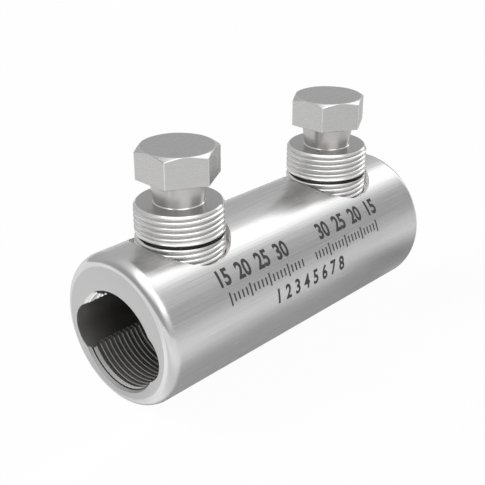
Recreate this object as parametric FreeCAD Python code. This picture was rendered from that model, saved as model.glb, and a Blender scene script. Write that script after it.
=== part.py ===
import FreeCAD, Part
import math
import os

# Shear bolt connector: a round barrel with a blind conductor bore in each end, and over each
# bore one screw with a hexagon drive that shears off when the conductor is tight.
# Lengths are in millimetres. X runs along the barrel, Z up through the screws. The origin is
# under the middle of the barrel, at its lowest line.

# Barrel
barrel_length = 72.0
barrel_diameter = 28.0
barrel_edge_radius = 1.85
centre_wall = 4.0

# Conductor bore: a round ribbed bore, widened sideways by a smooth rounded slot on the same axis
bore_radius = 8.95
bore_drop = 1.7
slot_width = 21.6
slot_height = 10.0
mouth_flare = 0.45
mouth_depth = 0.85
mouth_land = 0.75
rib_pitch = 1.0
rib_depth = 0.45
rib_count = 7

# Screw holes in the top of the barrel
screw_from_end = 15.6
hole_clearance = 0.06
relief_clearance = 0.72
relief_sink = 0.6

# Screw: threaded body, shear groove, tapered neck and hexagon
thread_diameter = 16.0
thread_pitch = 1.0
thread_depth = 0.54
thread_crest = 0.16
disc_stand_out = 5.9
disc_chamfer = 0.5
groove_below_disc = 5.3
groove_width = 0.6
groove_depth = 2.8
body_end_chamfer = 0.8
neck_height = 4.4
neck_foot_radius = 4.45
neck_top_radius = 5.15
hexagon_across_flats = 13.0
hexagon_height = 5.5
hexagon_chamfer_angle = 30.0
hexagon_turn = 29.5

# Pressure pad: a disc under each screw, held by a stem that turns in the screw's end
pad_recess = 0.1
pad_thickness = 1.2
pad_side_clearance = 0.5
pad_edge_chamfer = 0.3
pad_thrust_gap = 0.05
stem_radius = 2.0
stem_length = 3.0
stem_clearance = 0.05
stem_end_gap = 0.3

# Places worked out from the sizes above
overlap = 1.0
barrel_radius = barrel_diameter / 2
axis_height = barrel_radius
end_x = barrel_length / 2
bore_height = axis_height - bore_drop
bore_depth = (barrel_length - centre_wall) / 2
thread_radius = thread_diameter / 2
hole_radius = thread_radius + hole_clearance
relief_radius = thread_radius + relief_clearance
crown_height = axis_height + barrel_radius
relief_floor = axis_height + math.sqrt(barrel_radius**2 - relief_radius**2) - relief_sink
pad_bottom = bore_height + bore_radius + pad_recess
pad_radius = thread_radius - thread_depth - pad_side_clearance
body_bottom = pad_bottom + pad_thickness + pad_thrust_gap
body_top = crown_height + disc_stand_out
groove_top = body_top - groove_below_disc
groove_bottom = groove_top - groove_width
hexagon_bottom = body_top + neck_height
hexagon_top = hexagon_bottom + hexagon_height
screw_x = end_x - screw_from_end
screw_places = {"front": -screw_x, "rear": screw_x}


def turned(profile, centre, axis):
    """Solid of revolution of a closed outline of points about a line."""
    points = [FreeCAD.Vector(*point) for point in profile]
    face = Part.Face(Part.makePolygon(points + points[:1]))
    return face.revolve(centre, axis, 360)


def bore_outline():
    """Half section of the ribbed bore as (depth from the barrel's end, radius)."""
    outline = [
        (-overlap, 0.0),
        (-overlap, bore_radius + mouth_flare),
        (0.0, bore_radius + mouth_flare),
        (mouth_depth, bore_radius),
    ]
    first_rib = mouth_depth + mouth_land
    outline.append((first_rib, bore_radius))
    for count in range(rib_count):
        depth = first_rib + count * rib_pitch
        outline.append((depth + rib_pitch / 2, bore_radius + rib_depth))
        outline.append((depth + rib_pitch, bore_radius))
    outline.append((bore_depth, bore_radius))
    outline.append((bore_depth, 0.0))
    return outline


def conductor_bore(end):
    """Everything cut out of one end of the barrel; end is -1 or 1."""
    profile = [(end * (end_x - depth), 0, bore_height + radius) for depth, radius in bore_outline()]
    round_bore = turned(profile, FreeCAD.Vector(0, 0, bore_height), FreeCAD.Vector(1, 0, 0))
    half_height = slot_height / 2
    side = slot_width / 2 - half_height
    length = bore_depth + overlap
    start = min(end * (end_x + overlap), end * (end_x - bore_depth))
    along = FreeCAD.Vector(1, 0, 0)
    slot = Part.makeBox(length, 2 * side, slot_height, FreeCAD.Vector(start, -side, bore_height - half_height))
    for y in (-side, side):
        slot = slot.fuse(Part.makeCylinder(half_height, length, FreeCAD.Vector(start, y, bore_height), along))
    return [round_bore, slot]


def screw_hole(x):
    """Hole down to the bore's axis, and the wider relief round the screw at the surface."""
    reach = crown_height + overlap
    hole = Part.makeCylinder(hole_radius, reach - bore_height, FreeCAD.Vector(x, 0, bore_height))
    relief = Part.makeCylinder(relief_radius, reach - relief_floor, FreeCAD.Vector(x, 0, relief_floor))
    return [hole, relief]


def barrel():
    bar = Part.makeCylinder(
        barrel_radius, barrel_length, FreeCAD.Vector(-end_x, 0, axis_height), FreeCAD.Vector(1, 0, 0)
    )
    rims = [edge for edge in bar.Edges if isinstance(edge.Curve, Part.Circle)]
    solid = bar.makeFillet(barrel_edge_radius, rims)
    for end in (-1, 1):
        for tool in conductor_bore(end):
            solid = solid.cut(tool)
    for x in screw_places.values():
        for tool in screw_hole(x):
            solid = solid.cut(tool)
    return solid


def thread_outline(low, high):
    """Ridges between two heights, from the lower end up, as (radius, height)."""
    root = thread_radius - thread_depth
    flank = (thread_pitch - thread_crest) / 2
    outline = []
    height = low
    while height + thread_pitch <= high + 1e-6:
        outline.append((thread_radius, height))
        outline.append((root, height + flank))
        outline.append((thread_radius, height + 2 * flank))
        height += thread_pitch
    outline.append((thread_radius, height))
    return outline


def screw_outline():
    """Half section of the screw below its hexagon as (radius, height)."""
    groove_radius = thread_radius - groove_depth
    socket_radius = stem_radius + stem_clearance
    socket_top = body_bottom - pad_thrust_gap + stem_length + stem_end_gap
    lower = thread_outline(body_bottom + body_end_chamfer, groove_bottom)
    upper = thread_outline(groove_top, body_top - disc_chamfer)
    return (
        [(0.0, socket_top), (socket_radius, socket_top), (socket_radius, body_bottom)]
        + [(thread_radius - body_end_chamfer, body_bottom)]
        + lower
        + [(thread_radius, groove_bottom), (groove_radius, groove_bottom)]
        + [(groove_radius, groove_top)]
        + upper
        + [(thread_radius, body_top - disc_chamfer), (thread_radius - disc_chamfer, body_top)]
        + [(neck_foot_radius, body_top), (neck_top_radius, hexagon_bottom)]
        + [(neck_top_radius - overlap, hexagon_bottom + overlap), (0.0, hexagon_bottom + overlap)]
    )


def without_repeats(outline):
    """The same outline with points that fall on the one before left out."""
    kept = outline[:1]
    for point in outline[1:]:
        if math.dist(point, kept[-1]) > 1e-6:
            kept.append(point)
    return kept


def hexagon_head(x):
    corner_radius = hexagon_across_flats / 2 / math.cos(math.radians(30))
    corners = []
    for count in range(6):
        angle = math.radians(hexagon_turn + 60 * count)
        corners.append(
            FreeCAD.Vector(
                x + corner_radius * math.cos(angle), corner_radius * math.sin(angle), hexagon_bottom
            )
        )
    prism = Part.Face(Part.makePolygon(corners + corners[:1])).extrude(FreeCAD.Vector(0, 0, hexagon_height))
    flat_radius = hexagon_across_flats / 2
    slope = math.tan(math.radians(hexagon_chamfer_angle))
    outer_radius = corner_radius + overlap
    drop = (outer_radius - flat_radius) * slope
    crown = turned(
        [
            (x, 0, hexagon_bottom),
            (x + outer_radius, 0, hexagon_bottom),
            (x + outer_radius, 0, hexagon_top - drop),
            (x + flat_radius, 0, hexagon_top),
            (x, 0, hexagon_top),
        ],
        FreeCAD.Vector(x, 0, 0),
        FreeCAD.Vector(0, 0, 1),
    )
    return prism.common(crown)


def shear_bolt(x):
    profile = [(x + radius, 0, height) for radius, height in without_repeats(screw_outline())]
    body = turned(profile, FreeCAD.Vector(x, 0, 0), FreeCAD.Vector(0, 0, 1))
    return body.fuse(hexagon_head(x))


def pressure_pad(x):
    pad_top = pad_bottom + pad_thickness
    outline = [
        (0.0, pad_bottom),
        (pad_radius - pad_edge_chamfer, pad_bottom),
        (pad_radius, pad_bottom + pad_edge_chamfer),
        (pad_radius, pad_top),
        (stem_radius, pad_top),
        (stem_radius, pad_top + stem_length),
        (0.0, pad_top + stem_length),
    ]
    profile = [(x + radius, 0, height) for radius, height in outline]
    return turned(profile, FreeCAD.Vector(x, 0, 0), FreeCAD.Vector(0, 0, 1))


def pieces():
    shapes = {"connector_barrel": barrel()}
    for place, x in screw_places.items():
        shapes[place + "_shear_bolt"] = shear_bolt(x)
        shapes[place + "_pressure_pad"] = pressure_pad(x)
    return shapes


os.makedirs("parts", exist_ok=True)
for node, shape in pieces().items():
    shape.exportStep("parts/" + node + ".step")
    print(node, shape.isValid(), len(shape.Solids), round(shape.Volume, 1), shape.BoundBox)
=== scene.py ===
import math

import bmesh
import bpy
from mathutils import Matrix, Vector


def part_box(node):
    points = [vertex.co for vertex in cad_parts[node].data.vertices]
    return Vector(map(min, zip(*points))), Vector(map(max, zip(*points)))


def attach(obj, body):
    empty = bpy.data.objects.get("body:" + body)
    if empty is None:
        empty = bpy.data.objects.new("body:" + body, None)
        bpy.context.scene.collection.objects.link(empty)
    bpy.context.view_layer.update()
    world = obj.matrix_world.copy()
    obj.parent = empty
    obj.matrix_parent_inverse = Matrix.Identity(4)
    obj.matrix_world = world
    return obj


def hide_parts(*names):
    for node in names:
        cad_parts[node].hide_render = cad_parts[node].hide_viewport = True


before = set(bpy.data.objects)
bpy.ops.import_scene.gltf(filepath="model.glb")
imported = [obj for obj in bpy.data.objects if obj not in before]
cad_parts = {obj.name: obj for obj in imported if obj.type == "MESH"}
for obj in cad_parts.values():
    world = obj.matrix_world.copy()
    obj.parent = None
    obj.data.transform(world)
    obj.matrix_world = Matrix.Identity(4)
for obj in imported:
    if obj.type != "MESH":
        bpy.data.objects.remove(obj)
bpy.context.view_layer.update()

# Sizes in metres, read from the frame where it has them
MM = 0.001
barrel_low, barrel_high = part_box("connector_barrel")
bolt_low, bolt_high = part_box("front_shear_bolt")
END_X = barrel_high.x
BARREL_RADIUS = barrel_high.y
AXIS_Z = (barrel_low.z + barrel_high.z) / 2
CROWN_Z = barrel_high.z
SCREW_X = -(bolt_low.x + bolt_high.x) / 2
THREAD_RADIUS = (bolt_high.x - bolt_low.x) / 2

# Barrel, round its own axis
FLAT_FACE_RADIUS = 12.1 * MM
BORE_Z = AXIS_Z - 1.7 * MM
BORE_DEPTH = 34.0 * MM
BORE_RADIUS = 8.95 * MM
BORE_PITCH = 1.0 * MM
BORE_RIB_DEPTH = 0.45 * MM
MOUTH_RADIUS = 9.4 * MM
FLARE_DEPTH = 0.65 * MM
FLARE_END_RADIUS = 9.12 * MM
FIRST_GROOVE_RADIUS = 9.3 * MM
LAND_START = 0.8 * MM
LAND_END = 1.6 * MM
SLOT_HALF_WIDTH = 10.8 * MM
SLOT_HALF_HEIGHT = 5.0 * MM
HOLE_RADIUS = THREAD_RADIUS + 0.06 * MM
RELIEF_RADIUS = THREAD_RADIUS + 0.95 * MM
RELIEF_FLOOR = AXIS_Z + 10.35 * MM

# Screw, as heights above the floor
BODY_TOP = CROWN_Z + 5.9 * MM
GROOVE_TOP = BODY_TOP - 5.3 * MM
GROOVE_BOTTOM = GROOVE_TOP - 0.68 * MM
GROOVE_RADIUS = THREAD_RADIUS - 2.8 * MM
BODY_BOTTOM = bolt_low.z
THREAD_PITCH = 1.0 * MM
THREAD_DEPTH = 0.54 * MM
THREAD_CREST_Z = AXIS_Z + 17.86 * MM
DISC_CHAMFER = 0.5 * MM
LIP_CHAMFER = 0.12 * MM
BODY_END_CHAMFER = 0.8 * MM
HEX_BOTTOM = BODY_TOP + 4.4 * MM
HEX_TOP = bolt_high.z
HEX_FLAT_RADIUS = 6.5 * MM
HEX_TURN = math.radians(29.5)
NECK_FOOT_RADIUS = 4.45 * MM
NECK_TOP_RADIUS = 5.15 * MM
SOCKET_RADIUS = 2.05 * MM

# Camera, fitted to the outlines in the photograph
CAMERA_PLACE = Vector((-119.755, -107.405, 94.243)) * MM
CAMERA_YAW = math.radians(-47.038)
CAMERA_PITCH = math.radians(25.145)
CAMERA_NEAREST = 0.01
CAMERA_FARTHEST = 20.0
SENSOR_WIDTH = 36.0
FOCAL_LENGTH = 68.156


# Materials

class Value:
    """A shader socket that takes part in Python arithmetic, as Math nodes."""

    def __init__(self, sheet, socket):
        self.sheet = sheet
        self.socket = socket

    def math(self, operation, *others):
        return self.sheet.math(operation, self, *others)

    def __add__(self, other):
        return self.math("ADD", other)

    def __sub__(self, other):
        return self.math("SUBTRACT", other)

    def __rsub__(self, other):
        return self.sheet.math("SUBTRACT", other, self)

    def __mul__(self, other):
        return self.math("MULTIPLY", other)

    def __neg__(self):
        return self.math("MULTIPLY", -1)

    __radd__ = __add__
    __rmul__ = __mul__

    def clamp(self):
        return self.sheet.node("ShaderNodeClamp", {}, {"Value": self})


class Sheet:
    """The node sheet of one material or world."""

    def __init__(self, tree):
        self.tree = tree
        tree.nodes.clear()

    def node(self, kind, settings=None, sockets=None, output=0):
        """A node with its settings and the values or links of its sockets; gives one output."""
        made = self.tree.nodes.new(kind)
        for name, value in (settings or {}).items():
            if name == "ramp":
                self.fill_ramp(made.color_ramp, value)
            else:
                setattr(made, name, value)
        for key, value in (sockets or {}).items():
            if isinstance(value, Value):
                self.tree.links.new(value.socket, made.inputs[key])
            else:
                made.inputs[key].default_value = value
        if not made.outputs:
            return None
        return Value(self, made.outputs[output])

    @staticmethod
    def fill_ramp(ramp, stops):
        while len(ramp.elements) > 1:
            ramp.elements.remove(ramp.elements[-1])
        for count, (place, grey) in enumerate(stops):
            stop = ramp.elements[0] if count == 0 else ramp.elements.new(place)
            stop.position = place
            stop.color = (grey, grey, grey, 1.0) if isinstance(grey, float) else (*grey, 1.0)

    def math(self, operation, *inputs):
        return self.node("ShaderNodeMath", {"operation": operation}, dict(enumerate(inputs)))

    def place(self):
        """The point on the object, in its own coordinates."""
        return self.node("ShaderNodeTexCoord", output="Object")

    def axis(self, name):
        """One coordinate of that point: X, Y or Z."""
        return self.node("ShaderNodeSeparateXYZ", {}, {"Vector": self.place()}, output=name)


def new_material(name):
    material = bpy.data.materials.new(name)
    material.use_nodes = True
    return material, Sheet(material.node_tree)


# Places on a finish's ramp for its darkest and lightest grain, and the middle of the grain
GRAIN_DARK = 0.3
GRAIN_LIGHT = 0.7
GRAIN_MIDDLE = 0.5
QUARTER_TURN = 0.25


def metal(
    name, colour, roughness, texture=None, tone=0.0, rough_change=0.0, bump=0.0, metallic=1.0, lathed=0.0
):
    """A finish whose grain comes from texture(sheet).

    tone and rough_change say how much the grain changes the colour and the roughness, and bump is its
    height in metres. lathed draws the shine out up and down the piece.
    """
    material, sheet = new_material(name)
    sockets = {"Base Color": (*colour, 1.0), "Metallic": metallic, "Roughness": roughness}
    if lathed:
        sockets["Anisotropic"] = lathed
        sockets["Anisotropic Rotation"] = QUARTER_TURN
    if texture:
        grain = texture(sheet)
        if tone:
            dark = tuple(c * (1 - tone) for c in colour)
            light = tuple(min(1.0, c * (1 + tone)) for c in colour)
            stops = [(GRAIN_DARK, dark), (GRAIN_LIGHT, light)]
            sockets["Base Color"] = sheet.node("ShaderNodeValToRGB", {"ramp": stops}, {"Fac": grain})
        if rough_change:
            sockets["Roughness"] = ((grain - GRAIN_MIDDLE) * rough_change + roughness).clamp()
        if bump:
            relief = {"Strength": 1.0, "Distance": bump, "Height": grain}
            sockets["Normal"] = sheet.node("ShaderNodeBump", {}, relief)
    shader = sheet.node("ShaderNodeBsdfPrincipled", {}, sockets)
    sheet.node("ShaderNodeOutputMaterial", {}, {"Surface": shader})
    return material


def stretched(sheet, scale, offset=(0.0, 0.0, 0.0)):
    """The point moved by an offset and stretched by a scale, in grains for each metre of X, Y and Z."""
    moved = sheet.node("ShaderNodeVectorMath", {"operation": "ADD"}, {0: sheet.place(), 1: offset})
    return sheet.node("ShaderNodeVectorMath", {"operation": "MULTIPLY"}, {0: moved, 1: scale})


def noise(sheet, vector, detail):
    sockets = {"Vector": vector, "Scale": 1.0, "Detail": detail, "Roughness": 0.6}
    return sheet.node("ShaderNodeTexNoise", {}, sockets)


def brushed_grain(sheet):
    """Fine brush lines along the barrel, over broader ones."""
    fine = noise(sheet, stretched(sheet, (90.0, 4500.0, 4500.0)), 2.0)
    coarse = noise(sheet, stretched(sheet, (70.0, 2000.0, 2000.0), (0.02, 0.01, 0.0)), 1.0)
    return fine * 0.6 + coarse * 0.4


def milled_grain(sheet):
    """Fine even grain."""
    return noise(sheet, stretched(sheet, (4000.0, 4000.0, 4000.0)), 3.0)


def turned_grain(sheet):
    """Level lines round an upright axis."""
    return noise(sheet, stretched(sheet, (500.0, 500.0, 9000.0)), 2.0)


def scratched_grain(sheet):
    """Fine crossing scratches, as on the flat top of the hexagons."""
    along = noise(sheet, stretched(sheet, (400.0, 7000.0, 7000.0)), 3.0)
    across = noise(sheet, stretched(sheet, (6000.0, 500.0, 500.0), (0.01, 0.0, 0.0)), 3.0)
    return along * 0.5 + across * 0.5


def level_grain(sheet):
    """Fine level scratches, as on the sides of the hexagons."""
    return noise(sheet, stretched(sheet, (350.0, 350.0, 6500.0)), 3.0)


SHADE_DEPTH = 8 * MM


def depth_tone(sheet):
    """Painted shade: lightest at the ends of the barrel, and darkest from SHADE_DEPTH inside it on."""
    slope = (GRAIN_LIGHT - GRAIN_DARK) / SHADE_DEPTH
    start = (END_X - SHADE_DEPTH) * slope - GRAIN_DARK
    return (sheet.axis("X").math("ABSOLUTE") * slope - start).clamp()


FINISH = {
    "brushed": metal("brushed_tin", (0.80, 0.80, 0.80), 0.25, brushed_grain, 0.07, 0.16, 4e-6),
    "edge": metal("polished_edge", (0.80, 0.80, 0.80), 0.15, milled_grain, 0.01, 0.03),
    "face": metal("milled_face", (0.66, 0.66, 0.66), 0.35, milled_grain, 0.02, 0.05),
    # Painted shade inside the barrel: the finishes of the bore are darker copies of the barrel's tin,
    # darkest on the sides and in the valleys of its thread and in the dark finish, and the slot's wall
    # darkens with depth. The pale roof finish is a painted reflection.
    "flare": metal("bore_mouth", (0.31, 0.31, 0.31), 0.45, milled_grain, 0.03, metallic=0.6),
    "land": metal("bore_land", (0.46, 0.46, 0.45), 0.5, milled_grain, 0.03, metallic=0.3),
    "crest": metal("bore_crest", (0.52, 0.51, 0.50), 0.45, milled_grain, 0.03, metallic=0.7),
    "rib_side": metal("bore_rib_side_painted_shade", (0.14, 0.137, 0.134), 0.5, metallic=0.8),
    "valley": metal("bore_valley_painted_shade", (0.27, 0.265, 0.26), 0.5, milled_grain, 0.06, metallic=0.8),
    "roof": metal("bore_roof_painted_reflection", (0.72, 0.72, 0.71), 0.45, metallic=0.0),
    "slot": metal("slot_wall_painted_shade", (0.50, 0.49, 0.48), 0.45, depth_tone, 0.3),
    "dark": metal("deep_bore_painted_shade", (0.10, 0.10, 0.10), 0.5),
    # Painted light: the relief round each screw is near-white, lighter than the tin, where its walls lie
    # in shade.
    "relief": metal("relief_wall_painted_light", (0.96, 0.95, 0.94), 0.6, milled_grain, 0.04, metallic=0.0),
    # Lit and shaded copies of the screws' metal: the white crest finish is a painted highlight, and the
    # darker thread finishes and the groove's are painted shade, darkest under the ridges.
    "thread_crest": metal("thread_crest", (1.0, 1.0, 1.0), 0.16),
    "thread_shade": metal("thread_shade", (0.74, 0.735, 0.73), 0.42, milled_grain, 0.05, metallic=0.75),
    "thread_under": metal("thread_under", (0.38, 0.37, 0.36), 0.35),
    "thread_flank": metal("thread_flank", (0.64, 0.635, 0.63), 0.32, milled_grain, 0.06),
    "thread_root": metal("thread_root", (0.90, 0.895, 0.89), 0.32, milled_grain, 0.04),
    "groove": metal("shear_groove_painted_shade", (0.42, 0.41, 0.40), 0.5, metallic=0.5),
    "disc": metal("turned_disc", (0.60, 0.60, 0.60), 0.22, milled_grain, 0.09, 0.14),
    "neck": metal("polished_neck", (0.64, 0.62, 0.605), 0.25, turned_grain, 0.03, 0.05, lathed=0.8),
    # The hexagon's bright edge finish is a painted highlight, and its darker underside is painted shade.
    "hexagon": metal("hexagon_side", (0.645, 0.64, 0.635), 0.28, level_grain, 0.04, 0.08, 8e-7),
    "hexagon_top": metal("hexagon_top", (0.67, 0.67, 0.67), 0.28, scratched_grain, 0.09, 0.14, 1.5e-6),
    "hexagon_under": metal("hexagon_under", (0.46, 0.455, 0.45), 0.35),
    "hexagon_chamfer": metal("hexagon_chamfer", (0.78, 0.78, 0.78), 0.25, milled_grain, 0.02),
    "hexagon_edge": metal("hexagon_edge", (0.86, 0.86, 0.86), 0.30),
    "pad": metal("turned_pad", (0.70, 0.70, 0.70), 0.30, milled_grain, 0.02),
    "ink": metal("mark_ink", (0.035, 0.035, 0.035), 0.65, metallic=0.0),
}


# Meshes

# Points nearer than the first are one point, and edges shorter than the second are none
WELD_DISTANCE = 1e-7
SLIVER_LENGTH = 1e-8
# Angles in degrees past which two faces meet in a sharp edge
BARREL_SHARP = 20
SCREW_SHARP = 25
HEX_SHARP = 9


def new_object(name, data):
    piece = bpy.data.objects.new(name, data)
    bpy.context.scene.collection.objects.link(piece)
    return piece


def skin(name, rings, finishes, thread=None, ends=None):
    """A closed skin over rings of points that all have the same count.

    finishes names a finish for each gap between rings, or is a function of the gap and the step
    round it. thread is (first ring, last ring, rings in one turn) of rings that climb with a helix.
    ends are the finishes of the first and the last cap, if they differ from the rings beside them.
    """
    count = len(rings[0])
    first, last, per_turn = thread or (0, 0, 0)
    pick = finishes if callable(finishes) else lambda row, step: finishes[row]
    points = [point for ring_points in rings for point in ring_points]
    faces = []
    names = []
    for row in range(len(rings) - 1):
        for i in range(count):
            j = (i + 1) % count
            climb = per_turn if j == 0 and first <= row < last else 0
            if climb and row + 1 + climb > last:
                continue
            low, high = (row + climb) * count + j, (row + 1 + climb) * count + j
            faces.append((row * count + i, low, high, (row + 1) * count + i))
            names.append(pick(row, i))
    faces.append(tuple(reversed(range(count))))
    faces.append(tuple((len(rings) - 1) * count + i for i in range(count)))
    names += ends or [pick(0, 0), pick(len(rings) - 2, 0)]
    mesh = bpy.data.meshes.new(name)
    mesh.from_pydata(points, [], faces)
    used = sorted(set(names))
    for finish in used:
        mesh.materials.append(FINISH[finish])
    mesh.polygons.foreach_set("material_index", [used.index(finish) for finish in names])
    tidy_mesh(mesh)
    return mesh


def tidy_mesh(mesh):
    """Welds points that fall together and turns every face outwards."""
    work = bmesh.new()
    work.from_mesh(mesh)
    bmesh.ops.remove_doubles(work, verts=work.verts, dist=WELD_DISTANCE)
    bmesh.ops.dissolve_degenerate(work, edges=work.edges, dist=SLIVER_LENGTH)
    bmesh.ops.recalc_face_normals(work, faces=work.faces)
    work.to_mesh(mesh)
    work.free()


def ring(place, along, radius, steps):
    return [place(along, radius, math.tau * i / steps) for i in range(steps)]


def lathe(name, outline, place, finishes, steps=192):
    """A turned solid.

    outline lists (position along the axis, radius), and place gives the point for these and an angle.
    """
    return skin(name, [ring(place, along, radius, steps) for along, radius in outline], finishes)


def apply_modifiers(piece):
    depsgraph = bpy.context.evaluated_depsgraph_get()
    result = bpy.data.meshes.new_from_object(piece.evaluated_get(depsgraph))
    piece.modifiers.clear()
    piece.data = result


def cut(piece, tool_mesh):
    """Takes a closed tool mesh out of a piece, and keeps the tool's finishes on what it cut."""
    tool = new_object("tool", tool_mesh)
    modifier = piece.modifiers.new("cut", "BOOLEAN")
    modifier.operation = "DIFFERENCE"
    modifier.solver = "MANIFOLD"
    modifier.material_mode = "TRANSFER"
    modifier.object = tool
    apply_modifiers(piece)
    bpy.data.objects.remove(tool)


def shade(mesh, sharp_degrees):
    mesh.polygons.foreach_set("use_smooth", [True] * len(mesh.polygons))
    mesh.set_sharp_from_angle(angle=math.radians(sharp_degrees))


def along_barrel(end):
    """Points by depth from one end face, radius and angle round the bore's axis; end is -1 or 1."""
    def place(depth, radius, angle):
        across = -end * radius * math.cos(angle)
        return (end * (END_X - depth), across, BORE_Z + radius * math.sin(angle))
    return place


def up_screw(x):
    """Points by height, radius and angle round a screw's axis."""
    def place(height, radius, angle):
        return (x + radius * math.cos(angle), radius * math.sin(angle), height)
    return place


def depth_at(shape, phase):
    """Depth of a thread below its crest at a phase of its pitch; shape lists (phase, depth)."""
    for (start, low), (end, high) in zip(shape, shape[1:] + [(1.0, shape[0][1])]):
        if start <= phase <= end:
            return low + (high - low) * (phase - start) / (end - start)
    return shape[0][1]


# Whole turns of a helix before the place where it is cut off
SPARE_TURNS = 2


def helical_rings(start, end, pitch, shape, radius_at, first_crest, steps, place):
    """Rings that climb with a thread's helix, cut off square at the start and end."""
    turns = math.ceil((end - start) / pitch) + SPARE_TURNS + 1
    base = start - SPARE_TURNS * pitch + (first_crest - start) % pitch
    rings = []
    for row in range(len(shape) * turns + 1):
        turn, k = divmod(row, len(shape))
        points = []
        for i in range(steps):
            climb = pitch * i / steps
            along = base + (turn + shape[k][0]) * pitch + climb
            depth = shape[k][1]
            if not start <= along <= end:
                along = min(max(along, start), end)
                depth = depth_at(shape, ((along - base - climb) / pitch) % 1.0)
            points.append(place(along, radius_at(along, depth), math.tau * i / steps))
        rings.append(points)
    return rings


# Barrel

# How far a cutting tool stands out of what it cuts
OVERLAP = 1.0 * MM
# An end face's normal is along X by more than this
END_FACE_NORMAL = 0.999

# Rounded ends of the barrel: a slight cone from the flat face, a round, and a short taper
EDGE_CONE_ANGLE = math.radians(18)
EDGE_CONE_WIDTH = 0.44 * MM
EDGE_ROUND = 2.0 * MM
EDGE_END_ANGLE = math.radians(14)
CONE_LENGTH = EDGE_CONE_WIDTH * math.tan(EDGE_CONE_ANGLE)
ROUND_LENGTH = EDGE_ROUND * (math.cos(EDGE_CONE_ANGLE) - math.sin(EDGE_END_ANGLE))
ROUND_END_RADIUS = FLAT_FACE_RADIUS + EDGE_CONE_WIDTH + EDGE_ROUND * (
    math.cos(EDGE_END_ANGLE) - math.sin(EDGE_CONE_ANGLE)
)
TAPER_LENGTH = (BARREL_RADIUS - ROUND_END_RADIUS) / math.tan(EDGE_END_ANGLE)
EDGE_LENGTH = CONE_LENGTH + ROUND_LENGTH + TAPER_LENGTH
TAPER_END_MARGIN = 0.1 * MM


def edge_curve(round_steps=18):
    """Section of the rounded end as (depth from the face, radius)."""
    curve = [(0.0, FLAT_FACE_RADIUS)]
    last_angle = math.pi / 2 - EDGE_END_ANGLE
    for i in range(round_steps + 1):
        angle = EDGE_CONE_ANGLE + (last_angle - EDGE_CONE_ANGLE) * i / round_steps
        depth = CONE_LENGTH + EDGE_ROUND * (math.cos(EDGE_CONE_ANGLE) - math.cos(angle))
        rise = EDGE_ROUND * (math.sin(angle) - math.sin(EDGE_CONE_ANGLE))
        curve.append((depth, FLAT_FACE_RADIUS + EDGE_CONE_WIDTH + rise))
    curve.append((EDGE_LENGTH, BARREL_RADIUS))
    return curve


def edge_lean(depth):
    """How far the edge's normal leans out of the radial direction at a depth, in radians."""
    if depth <= CONE_LENGTH:
        return math.pi / 2 - EDGE_CONE_ANGLE
    if depth >= CONE_LENGTH + ROUND_LENGTH:
        return EDGE_END_ANGLE if depth < EDGE_LENGTH - TAPER_END_MARGIN else 0.0
    return math.pi / 2 - math.acos(math.cos(EDGE_CONE_ANGLE) - (depth - CONE_LENGTH) / EDGE_ROUND)


# Mouth of the bore from outside in, as (depth, radius, finish of the wall after it); its dark finish is
# painted shade
GROOVE_WALL = 0.01 * MM
BORE_MOUTH = [
    (-OVERLAP, MOUTH_RADIUS, "flare"),
    (0.0, MOUTH_RADIUS, "flare"),
    (FLARE_DEPTH, FLARE_END_RADIUS, "dark"),
    (FLARE_DEPTH + GROOVE_WALL, FIRST_GROOVE_RADIUS, "dark"),
    (LAND_START - GROOVE_WALL, FIRST_GROOVE_RADIUS, "dark"),
    (LAND_START, BORE_RADIUS, "land"),
]

# Thread of the bore, round one pitch from a crest inwards as (phase, depth), and its finishes, with
# painted shade in its valleys and on its sides
BORE_THREAD = [
    (0.0, 0.10 * MM),
    (0.05, 0.0),
    (0.10, 0.0),
    (0.24, BORE_RIB_DEPTH),
    (0.94, BORE_RIB_DEPTH),
]
BORE_BANDS = ("crest", "crest", "valley", "valley", "rib_side")
BORE_THREAD_END = BORE_DEPTH - 1.5 * MM
BORE_THREAD_FADE = 0.35 * MM

# As deep as ROOF_DEPTH, the upper wall of the bore has a pale band of painted reflection, with painted
# shade above it. The band starts and ends at these shares of the radius above the bore's axis, and its
# end sinks with depth.
ROOF_START = 0.3
ROOF_END = 0.84
ROOF_NARROWING = 0.075 / MM
ROOF_DEPTH = 12 * MM


def bore_tool(end, steps=128):
    """The round bore of one end with its thread, which starts with a crest at the end of the land."""
    place = along_barrel(end)

    def radius_at(along, depth):
        begun = max(0.0, (along - LAND_END) / BORE_THREAD_FADE)
        left = max(0.0, (BORE_THREAD_END - along) / BORE_THREAD_FADE)
        return BORE_RADIUS + depth * min(1.0, begun, left)

    rows = helical_rings(
        LAND_END, BORE_THREAD_END, BORE_PITCH, BORE_THREAD, radius_at, LAND_END, steps, place
    )
    before = [ring(place, along, radius, steps) for along, radius, _ in BORE_MOUTH]
    after = [ring(place, BORE_DEPTH, BORE_RADIUS, steps)]
    first = len(before)
    mouth_depths = [depth for depth, _, _ in BORE_MOUTH] + [LAND_END]

    def finish(row, step):
        rise = math.sin(math.tau * step / steps)
        if row < first:
            middle = (mouth_depths[row] + mouth_depths[row + 1]) / 2
            plain = BORE_MOUTH[row][2]
        else:
            middle = max(LAND_END, (row - first) / len(BORE_THREAD) * BORE_PITCH)
            plain = BORE_BANDS[(row - first) % len(BORE_THREAD)]
        # A pale band of painted reflection on the upper wall, and painted shade above it
        if rise > ROOF_START and middle < ROOF_DEPTH:
            return "roof" if rise < ROOF_END - ROOF_NARROWING * middle else "dark"
        return plain

    thread = (first, first + len(rows) - 1, len(BORE_THREAD))
    return skin("bore_tool", before + rows + after, finish, thread)


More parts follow.
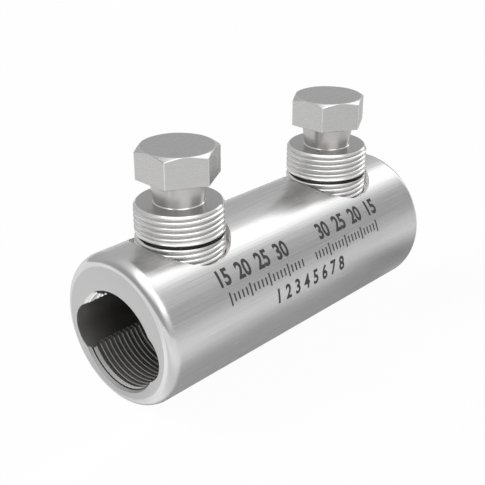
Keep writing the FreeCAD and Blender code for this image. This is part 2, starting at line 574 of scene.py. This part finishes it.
def slot_tool(end, steps=48):
    """The smooth slot through the bore: two half rounds joined by flats."""
    side = SLOT_HALF_WIDTH - SLOT_HALF_HEIGHT
    outline = []
    for middle, start in ((side, -90), (-side, 90)):
        for i in range(steps + 1):
            angle = math.radians(start + 180 * i / steps)
            y = middle + SLOT_HALF_HEIGHT * math.cos(angle)
            outline.append((y, BORE_Z + SLOT_HALF_HEIGHT * math.sin(angle)))
    rings = []
    for depth in (-OVERLAP, BORE_DEPTH):
        rings.append([(end * (END_X - depth), y, z) for y, z in outline])
    return skin("slot_tool", rings, ["slot"])


def hole_tool(x):
    """The hole of one screw, its wall in painted shade, and the wider relief round it at the surface, in
    painted light.
    """
    outline = [
        (BORE_Z, HOLE_RADIUS),
        (RELIEF_FLOOR, HOLE_RADIUS),
        (RELIEF_FLOOR, RELIEF_RADIUS),
        (CROWN_Z + OVERLAP, RELIEF_RADIUS),
    ]
    return lathe("hole_tool", outline, up_screw(x), ["dark", "relief", "relief"])


def polish_normals(mesh):
    """Gives the outer round of the barrel the true normals of a turned surface."""
    shade(mesh, BARREL_SHARP)
    normals = [(0.0, 0.0, 0.0)] * len(mesh.loops)
    outer = {mesh.materials.find(FINISH[name].name) for name in ("brushed", "edge")}
    for polygon in mesh.polygons:
        if polygon.material_index not in outer:
            continue
        on_edge = END_X - abs(polygon.center.x) < EDGE_LENGTH
        for loop_index in polygon.loop_indices:
            point = mesh.vertices[mesh.loops[loop_index].vertex_index].co
            outward = Vector((0.0, point.y, point.z - AXIS_Z)).normalized()
            lean = edge_lean(END_X - abs(point.x)) if on_edge else 0.0
            along = Vector((math.copysign(math.sin(lean), point.x), 0, 0))
            normals[loop_index] = tuple(outward * math.cos(lean) + along)
    mesh.normals_split_custom_set(normals)


def make_barrel():
    def place(x, radius, angle):
        return (x, radius * math.cos(angle), AXIS_Z + radius * math.sin(angle))

    curve = edge_curve()
    outline = [(-END_X + depth, radius) for depth, radius in curve]
    outline += [(END_X - depth, radius) for depth, radius in reversed(curve)]
    edge = ["edge"] * (len(curve) - 2) + ["brushed"]
    mesh = lathe("barrel_shell", outline, place, edge + ["brushed"] + edge[::-1], steps=360)
    face_slot = len(mesh.materials)
    mesh.materials.append(FINISH["face"])
    for polygon in mesh.polygons:
        if abs(polygon.normal.x) > END_FACE_NORMAL:
            polygon.material_index = face_slot
    piece = new_object("barrel_shell", mesh)
    for end in (-1, 1):
        cut(piece, bore_tool(end))
        cut(piece, slot_tool(end))
    for x in (-SCREW_X, SCREW_X):
        cut(piece, hole_tool(x))
    polish_normals(piece.data)
    return piece


# Screws

HEX_CORNER_ROUND = 0.2 * MM
HEX_EDGE = 0.10 * MM
HEX_RIM_INSET = 0.03 * MM
HEX_CHAMFER_SLOPE = math.tan(math.radians(30))
# Most that the edges below and above the chamfer may take of its width
LOWER_EDGE_SHARE = 0.4
UPPER_EDGE_SHARE = 0.3


def hexagon_outline(flat_steps=14, corner_steps=4):
    """Points round the hexagon as (angle, radius), and for each, if the side after it is a corner's."""
    points = []
    on_corner = []
    reach = (HEX_FLAT_RADIUS - HEX_CORNER_ROUND) / math.cos(math.pi / 6)
    corners = []
    for side in range(6):
        turn = HEX_TURN + side * math.pi / 3
        arc = []
        for i in range(corner_steps + 1):
            angle = turn + math.radians(-30 + 60 * i / corner_steps)
            arc.append(Vector((math.cos(turn), math.sin(turn))) * reach)
            arc[-1] += Vector((math.cos(angle), math.sin(angle))) * HEX_CORNER_ROUND
        corners.append(arc)
    for side, arc in enumerate(corners):
        points += arc
        on_corner += [True] * corner_steps + [False]
        start, end = arc[-1], corners[(side + 1) % 6][0]
        for i in range(1, flat_steps):
            points.append(start.lerp(end, i / flat_steps))
            on_corner.append(False)
    return [(math.atan2(p.y, p.x), p.length) for p in points], on_corner


def make_hexagon(name, x):
    """The hexagon with fine edges of painted highlight and a chamfer down to its corners."""
    outline, on_corner = hexagon_outline()
    place = up_screw(x)
    slope = HEX_CHAMFER_SLOPE
    rim = HEX_FLAT_RADIUS - HEX_RIM_INSET
    rings = [[] for _ in range(6)]
    for angle, radius in outline:
        width = radius - rim
        lower = min(HEX_EDGE, LOWER_EDGE_SHARE * width)
        upper = min(HEX_EDGE, UPPER_EDGE_SHARE * width)
        levels = [
            (HEX_BOTTOM, radius - HEX_EDGE),
            (HEX_BOTTOM + HEX_EDGE, radius),
            (HEX_TOP - width * slope - lower, radius),
            (HEX_TOP - (width - lower) * slope, radius - lower),
            (HEX_TOP - upper * slope, rim + upper),
            (HEX_TOP, rim - HEX_EDGE),
        ]
        for ring_points, (height, distance) in zip(rings, levels):
            ring_points.append(place(height, distance, angle))

    def finish(row, step):
        if row == 1:
            return "hexagon_edge" if on_corner[step] else "hexagon"
        return "hexagon_chamfer" if row == 3 else "hexagon_edge"

    piece = new_object(name, skin(name, rings, finish, ends=["hexagon_under", "hexagon_top"]))
    shade(piece.data, HEX_SHARP)
    return piece


# Thread of the screws, round one pitch from the foot of a crest up as (phase, depth): face, lip with a
# painted highlight, and flank, root and underside with painted shade. Its finishes differ above and below
# the shear groove, with more painted light below it.
SCREW_THREAD = [
    (0.0, 0.10 * MM),
    (0.12, 0.02 * MM),
    (0.30, 0.0),
    (0.34, 0.03 * MM),
    (0.49, 0.23 * MM),
    (0.58, 0.40 * MM),
    (0.70, THREAD_DEPTH),
    (0.80, THREAD_DEPTH),
]
FLANK_BANDS = ("thread_shade", "thread_shade", "thread_shade", "thread_under")
UPPER_BANDS = ("thread_flank", "thread_root", "thread_crest", "thread_crest") + FLANK_BANDS
LOWER_BANDS = ("thread_root", "thread_crest", "thread_crest", "thread_crest") + FLANK_BANDS
# Within half of this from either end, the thread has the painted highlight of its crests
LIP_WIDTH = 0.4 * MM
# Near its lower end the thread grows from a plain bead of this height, at this slope
BEAD_HEIGHT = 0.1 * MM
BEAD_SLOPE = 0.7


def threaded_part(name, x, low, high, low_chamfer, high_chamfer, end_radii, bands, steps=180):
    """A length of the screw's thread between two heights; end_radii close it below and above."""
    place = up_screw(x)

    def radius_at(height, depth):
        below = THREAD_RADIUS - low_chamfer + (height - low)
        above = THREAD_RADIUS - high_chamfer + (high - height)
        grown = max(0.0, height - low - BEAD_HEIGHT) * BEAD_SLOPE
        return min(THREAD_RADIUS - min(depth, grown), below, above)

    rows = helical_rings(
        low, high, THREAD_PITCH, SCREW_THREAD, radius_at, THREAD_CREST_Z, steps, place
    )
    first_ring = ring(place, low, end_radii[0], steps)
    last_ring = ring(place, high, end_radii[1], steps)
    rings = [first_ring] + rows + [last_ring]

    def finish(row, step):
        if row == 0:
            return "groove"
        if row == len(rings) - 2:
            return "disc"
        height = (rings[row][step][2] + rings[row + 1][step][2]) / 2
        if height > high - LIP_WIDTH / 2 or height < low + LIP_WIDTH / 2:
            return "thread_crest"
        return bands[(row - 1) % len(SCREW_THREAD)]

    return skin(name, rings, finish, (1, len(rows), len(SCREW_THREAD)))


NECK_FLARE = 0.15 * MM
NECK_FLARE_RIM = 0.01 * MM
NECK_FLARE_STEP = 0.02 * MM
NECK_IN_BODY = 1.0 * MM
NECK_IN_HEXAGON = 0.5 * MM


def make_neck(x):
    """The polished taper from the disc to the hexagon, with a small flare at its foot that has a painted
    highlight.
    """
    outline = [
        (BODY_TOP - NECK_IN_BODY, NECK_FOOT_RADIUS + NECK_FLARE),
        (BODY_TOP + NECK_FLARE_RIM, NECK_FOOT_RADIUS + NECK_FLARE),
        (BODY_TOP + NECK_FLARE, NECK_FOOT_RADIUS + NECK_FLARE_STEP),
        (HEX_BOTTOM + NECK_IN_HEXAGON, NECK_TOP_RADIUS),
    ]
    return lathe("neck", outline, up_screw(x), ["neck", "thread_crest", "neck"])


CORE_LOW = BODY_BOTTOM + 3 * MM
CORE_FULL = BODY_BOTTOM + 4 * MM
CORE_HIGH = BODY_TOP - 2 * MM


def make_core(x):
    """The bottom of the shear groove, inside the threaded parts above the pad's stem."""
    outline = [(CORE_LOW, SOCKET_RADIUS), (CORE_FULL, GROOVE_RADIUS), (CORE_HIGH, GROOVE_RADIUS)]
    return lathe("core", outline, up_screw(x), ["groove", "groove"])


# Radii at which the flat ends of the threaded parts go over into their caps
OUTER_CAP_RADIUS = 3 * MM
GROOVE_CAP_RADIUS = GROOVE_RADIUS - 0.5 * MM


def make_screw(place_name, x):
    lower_ends = (OUTER_CAP_RADIUS, GROOVE_CAP_RADIUS)
    upper_ends = (GROOVE_CAP_RADIUS, OUTER_CAP_RADIUS)
    meshes = {
        "lower_thread": threaded_part(
            "lower", x, BODY_BOTTOM, GROOVE_BOTTOM, BODY_END_CHAMFER, LIP_CHAMFER, lower_ends, LOWER_BANDS
        ),
        "upper_thread": threaded_part(
            "upper", x, GROOVE_TOP, BODY_TOP, LIP_CHAMFER, DISC_CHAMFER, upper_ends, UPPER_BANDS
        ),
        "core": make_core(x),
        "neck": make_neck(x),
    }
    parts = []
    for label, mesh in meshes.items():
        parts.append(new_object(place_name + "_" + label, mesh))
        shade(mesh, SCREW_SHARP)
    parts.append(make_hexagon(place_name + "_hexagon", x))
    return parts


# Depth marks on the barrel

MARK_PROUD = 0.015 * MM
MARK_BURIED = 0.03 * MM
MARK_THICKNESS = MARK_PROUD + MARK_BURIED
MARK_MIDDLE = (MARK_PROUD - MARK_BURIED) / 2
STRIP = 0.45 * MM
ROW_HALF_HEIGHT = 2 * MM
DIGIT_WIDTH = 0.8
DIGIT_CURVE_STEPS = 4

# Angle of each row of marks above the level of the barrel's axis
DEPTH_ROW = math.radians(39)
RULER_ROW = math.radians(23)
COUNT_ROW = math.radians(8)

# Depths and ticks in millimetres from each end, and the size and boldness of the digits
DEPTHS = (15, 20, 25, 30)
DEPTH_SIZE = 4.2 * MM
DEPTH_BOLDNESS = 0.13 * MM
TICKS = range(15, 35)
LONG_TICK_EVERY = 5
LONG_TICK = 1.2 * MM
SHORT_TICK = 0.7 * MM
TICK_WIDTH = 0.34 * MM
COUNTS = range(1, 9)
COUNT_MIDDLE = 4.7
COUNT_SPACING = 2.6 * MM
COUNT_SIZE = 3.8 * MM
COUNT_BOLDNESS = 0.11 * MM


def flat_text(work, text, x, size, boldness):
    """Adds a narrow bold number to a bmesh, flat: x along the barrel, y up, z out."""
    curve = bpy.data.curves.new("number", "FONT")
    curve.body = text
    curve.size = size
    curve.offset = boldness
    curve.extrude = MARK_THICKNESS / 2
    curve.resolution_u = DIGIT_CURVE_STEPS
    curve.align_x = "CENTER"
    curve.align_y = "CENTER"
    piece = new_object("number", curve)
    mesh = bpy.data.meshes.new_from_object(piece.evaluated_get(bpy.context.evaluated_depsgraph_get()))
    bpy.data.objects.remove(piece)
    low = min(point.co.y for point in mesh.vertices)
    high = max(point.co.y for point in mesh.vertices)
    shift = Matrix.Translation((x, -(low + high) / 2, MARK_MIDDLE))
    mesh.transform(shift @ Matrix.Diagonal((DIGIT_WIDTH, 1.0, 1.0, 1.0)))
    work.from_mesh(mesh)


def flat_bar(work, x, width, low, high):
    """Adds an upright bar to a bmesh, flat."""
    shift = Matrix.Translation((x, (low + high) / 2, MARK_MIDDLE))
    stretch = Matrix.Diagonal((width, high - low, MARK_THICKNESS, 1.0))
    bmesh.ops.create_cube(work, size=1.0, matrix=shift @ stretch)


def bend_round_barrel(work, row_angle, height):
    """Cuts flat marks into level strips and lays them round the barrel."""
    level = -height
    while level < height:
        geometry = work.verts[:] + work.edges[:] + work.faces[:]
        bmesh.ops.bisect_plane(work, geom=geometry, plane_co=(0, level, 0), plane_no=(0, 1, 0))
        level += STRIP
    for point in work.verts:
        radius = BARREL_RADIUS + point.co.z
        angle = row_angle + point.co.y / BARREL_RADIUS
        point.co.y = -radius * math.cos(angle)
        point.co.z = AXIS_Z + radius * math.sin(angle)


def depth_row(work):
    """Depths from each end of the barrel, at their true places."""
    for depth in DEPTHS:
        for end in (-1, 1):
            flat_text(work, str(depth), end * (END_X - depth * MM), DEPTH_SIZE, DEPTH_BOLDNESS)


def ruler_row(work):
    """A tick for each millimetre, and a long one for each fifth."""
    for depth in TICKS:
        reach = SHORT_TICK if depth % LONG_TICK_EVERY else LONG_TICK
        for end in (-1, 1):
            flat_bar(work, end * (END_X - depth * MM), TICK_WIDTH, -reach, reach)


def count_row(work):
    """Plain digits in a row."""
    for count in COUNTS:
        flat_text(work, str(count), (count - COUNT_MIDDLE) * COUNT_SPACING, COUNT_SIZE, COUNT_BOLDNESS)


def make_marks():
    result = bmesh.new()
    for fill, angle in ((depth_row, DEPTH_ROW), (ruler_row, RULER_ROW), (count_row, COUNT_ROW)):
        row = bmesh.new()
        fill(row)
        bmesh.ops.remove_doubles(row, verts=row.verts, dist=WELD_DISTANCE)
        bend_round_barrel(row, angle, ROW_HALF_HEIGHT)
        part = bpy.data.meshes.new("row")
        row.to_mesh(part)
        row.free()
        result.from_mesh(part)
    mesh = bpy.data.meshes.new("depth_marks")
    bmesh.ops.recalc_face_normals(result, faces=result.faces)
    result.to_mesh(mesh)
    result.free()
    mesh.materials.clear()
    mesh.materials.append(FINISH["ink"])
    return new_object("depth_marks", mesh)


barrel = make_barrel()
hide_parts("connector_barrel")
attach(barrel, "barrel")

marks = make_marks()
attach(marks, "barrel")

for place_name, x in (("front", -SCREW_X), ("rear", SCREW_X)):
    for piece in make_screw(place_name, x):
        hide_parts(place_name + "_shear_bolt")
        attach(piece, place_name + "_bolt")
    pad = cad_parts[place_name + "_pressure_pad"]
    pad.data.materials.clear()
    pad.data.materials.append(FINISH["pad"])


# Floor, light and camera

WHITE = (1.0, 1.0, 1.0, 1.0)

# Painted shadow and painted light on the floor, seen in the metal: its grey by its distance in front of
# the barrel's axis, as a share of FLOOR_TONE_REACH
FLOOR_PAINTED_LIGHT_AND_SHADE = [
    (0.0, 0.44), (0.03, 0.46), (0.09, 0.57), (0.12, 0.56), (0.14, 0.48), (0.17, 0.41), (0.20, 0.38),
    (0.235, 0.37), (0.28, 0.39), (0.33, 0.43), (0.41, 0.465), (0.56, 0.475), (0.85, 0.44),
]
FLOOR_TONE_REACH = 0.080
FLOOR_HALF_SIZE = 3.0

# Painted light on the floor near a line past the near end, and painted shade from its middle towards the
# far end, darker still round a spot there. The spot's core is a share of its reach.
NEAR_END_PAINTED_LIGHT = 0.035
NEAR_END_X = -0.060
NEAR_END_REACH = 0.040
FAR_HALF_PAINTED_SHADE = 0.05
FAR_HALF_REACH = 0.040
FAR_END_PAINTED_SHADE = 0.075
FAR_END_SPOT = (0.048, -0.018, 0.0)
FAR_END_REACH = 0.022
FAR_END_CORE = 0.4

# How white the floor is whatever light falls on it, to the camera and in the metal
FLOOR_WHITE = 0.97
FLOOR_WHITE_IN_METAL = 0.06


def make_floor():
    """A floor that is white to the camera, and grey in the metal with the object's shadow and with
    painted shadow and painted light.
    """
    size = FLOOR_HALF_SIZE
    corners = [(-size, -size, 0.0), (size, -size, 0.0), (size, size, 0.0), (-size, size, 0.0)]
    mesh = bpy.data.meshes.new("floor")
    mesh.from_pydata(corners, [], [(0, 1, 2, 3)])
    floor = new_object("floor", mesh)
    material, sheet = new_material("pale_floor")
    camera_ray = sheet.node("ShaderNodeLightPath", output="Is Camera Ray")
    glossy_ray = sheet.node("ShaderNodeLightPath", output="Is Glossy Ray")
    through_ray = sheet.node("ShaderNodeLightPath", output="Is Transmission Ray")
    along = sheet.axis("X")
    # Painted shadow and painted light in the floor's grey, seen in the metal
    in_front = (sheet.axis("Y") * (-1 / FLOOR_TONE_REACH)).clamp()
    base = sheet.node("ShaderNodeValToRGB", {"ramp": FLOOR_PAINTED_LIGHT_AND_SHADE}, {"Fac": in_front})
    near_end_painted_light = (1 - (along - NEAR_END_X).math("ABSOLUTE") * (1 / NEAR_END_REACH)).clamp()
    to_spot = {0: sheet.place(), 1: FAR_END_SPOT}
    away = sheet.node("ShaderNodeVectorMath", {"operation": "DISTANCE"}, to_spot, output="Value")
    far_end_painted_shade = (1 + FAR_END_CORE - away * (1 / FAR_END_REACH)).clamp()
    far_half_painted_shade = (along * (1 / FAR_HALF_REACH)).clamp()
    tone = near_end_painted_light * NEAR_END_PAINTED_LIGHT + base - far_half_painted_shade * FAR_HALF_PAINTED_SHADE - far_end_painted_shade * FAR_END_PAINTED_SHADE
    plain = sheet.node("ShaderNodeBsdfDiffuse", {}, {"Color": tone})
    white = sheet.node("ShaderNodeEmission", {}, {"Color": WHITE, "Strength": 1.0})
    whiteness = (camera_ray + through_ray) * FLOOR_WHITE + glossy_ray * FLOOR_WHITE_IN_METAL
    shown = sheet.node("ShaderNodeMixShader", {}, {0: whiteness.clamp(), 1: plain, 2: white})
    sheet.node("ShaderNodeOutputMaterial", {}, {"Surface": shown})
    mesh.materials.append(material)


# Light of the tent by the angle round the barrel's axis, in degrees: 0 is level from -Y, 90 straight
# above, 180 level from +Y. TENT_RIGHT is for the part towards +X and TENT_LEFT for the rest. The
# brightest angles of each are a large soft box.
TENT_RIGHT = [
    (0, 0.56), (10, 0.43), (20, 0.385), (40, 0.37), (52, 0.45), (60, 0.60), (66, 0.80), (70, 1.15),
    (76, 1.35), (84, 1.50), (96, 1.75), (100, 1.20), (104, 0.80), (109, 0.62), (118, 0.57), (128, 0.53),
    (140, 0.48), (180, 0.45),
]
TENT_LEFT = [
    (0, 0.50), (12, 0.56), (20, 0.68), (28, 0.90), (36, 1.30), (98, 1.35), (104, 0.90), (112, 0.66),
    (135, 0.50), (180, 0.42),
]
TENT_RADIUS = 2.9

# Places in the tent are shares of its radius, along X or up. A rate is how much of a light comes or
# goes over a whole radius. TENT_RIGHT takes over from RIGHT_START on.
RIGHT_START = 0.03
RIGHT_RATE = 3.5

# A brighter band on the side of -Y, by its angle and reach in degrees, and where it ends along X
LOW_BAND_LIGHT = 0.28
LOW_BAND_ANGLE = 43.2
LOW_BAND_REACH = 14.4
LOW_BAND_END = 0.69
LOW_BAND_RATE = 10.0

# The darker wall towards -X, which reaches up to END_TOP, and its brighter foot
END_START = 0.38
END_TOP = 0.82
END_RATE = 2.6
END_LIGHT = 0.36
FOOT_TOP = 0.12
FOOT_RATE = 8.0
FOOT_LIGHT = 0.64


def make_tent():
    """The cloth of a light tent, which the metal and the floor see and the camera doesn't."""
    mesh = bpy.data.meshes.new("light_tent")
    work = bmesh.new()
    bmesh.ops.create_uvsphere(work, u_segments=64, v_segments=32, radius=TENT_RADIUS)
    work.to_mesh(mesh)
    work.free()
    tent = new_object("light_tent", mesh)
    tent.visible_camera = False
    material, sheet = new_material("tent_cloth")
    along = sheet.axis("X") * (1 / TENT_RADIUS)
    up = sheet.axis("Z") * (1 / TENT_RADIUS)
    half_turns = sheet.axis("Z").math("ARCTAN2", -sheet.axis("Y")) * (1 / math.pi)
    ramps = []
    for table in (TENT_LEFT, TENT_RIGHT):
        stops = [(angle / 180, light) for angle, light in table]
        ramps.append(sheet.node("ShaderNodeValToRGB", {"ramp": stops}, {"Fac": half_turns}))
    to_right = ((along - RIGHT_START) * RIGHT_RATE).clamp()
    parts = {0: to_right, 6: ramps[0], 7: ramps[1]}
    light = sheet.node("ShaderNodeMix", {"data_type": "RGBA"}, parts, output=2)
    off_band = (half_turns - LOW_BAND_ANGLE / 180).math("ABSOLUTE") * (180 / LOW_BAND_REACH)
    low_band = (1 - off_band).clamp() * ((LOW_BAND_END - along) * LOW_BAND_RATE).clamp()
    light = low_band * LOW_BAND_LIGHT + light
    past_start = ((-along - END_START) * END_RATE).clamp()
    to_end = past_start.math("MINIMUM", ((END_TOP - up) * END_RATE).clamp())
    foot = ((FOOT_TOP - up) * FOOT_RATE).clamp()
    end_light = foot * (FOOT_LIGHT - END_LIGHT) + END_LIGHT
    parts = {0: to_end, 6: light, 7: end_light}
    light = sheet.node("ShaderNodeMix", {"data_type": "RGBA"}, parts, output=2)
    glow = sheet.node("ShaderNodeEmission", {}, {"Color": light, "Strength": 1.0})
    sheet.node("ShaderNodeOutputMaterial", {}, {"Surface": glow})
    mesh.materials.append(material)


# A large soft lamp behind the object, whose shadow falls towards the camera
KEY_PLACE = Vector((-1.08, 1.44, 1.73))
KEY_SIZE = 1.3
KEY_POWER = 68.0
# A low lamp in front of the bore, for the roof of its mouth
SIDE_PLACE = Vector((-1.30, -0.72, 0.17))
SIDE_SIZE = 0.3
SIDE_POWER = 19.0


def make_lamp(name, place, size, power):
    """A round lamp turned to the origin, which neither the camera nor the metal shows."""
    light = bpy.data.lights.new(name, "AREA")
    light.shape = "DISK"
    light.size = size
    light.energy = power
    lamp = new_object(name, light)
    lamp.location = place
    lamp.rotation_euler = place.to_track_quat("Z", "Y").to_euler()
    lamp.visible_camera = False
    lamp.visible_glossy = False


def make_world():
    """Plain white all round, outside the tent."""
    world = bpy.data.worlds.new("studio")
    bpy.context.scene.world = world
    world.use_nodes = True
    sheet = Sheet(world.node_tree)
    white = sheet.node("ShaderNodeBackground", {}, {"Color": WHITE, "Strength": 1.0})
    sheet.node("ShaderNodeOutputWorld", {}, {"Surface": white})


def make_camera():
    turn, rise = CAMERA_YAW, CAMERA_PITCH
    back = Vector((math.sin(turn) * math.cos(rise), -math.cos(turn) * math.cos(rise), math.sin(rise)))
    right = Vector((math.cos(turn), math.sin(turn), 0.0))
    up = back.cross(right)
    facing = Matrix((right, up, back)).transposed().to_4x4()
    camera = new_object("camera", bpy.data.cameras.new("camera"))
    camera.matrix_world = Matrix.Translation(CAMERA_PLACE) @ facing
    camera.data.sensor_width = SENSOR_WIDTH
    camera.data.lens = FOCAL_LENGTH
    camera.data.clip_start = CAMERA_NEAREST
    camera.data.clip_end = CAMERA_FARTHEST
    bpy.context.scene.camera = camera


make_floor()
make_tent()
make_lamp("key", KEY_PLACE, KEY_SIZE, KEY_POWER)
make_lamp("side", SIDE_PLACE, SIDE_SIZE, SIDE_POWER)
make_world()
make_camera()
bpy.context.scene.view_settings.view_transform = "Standard"
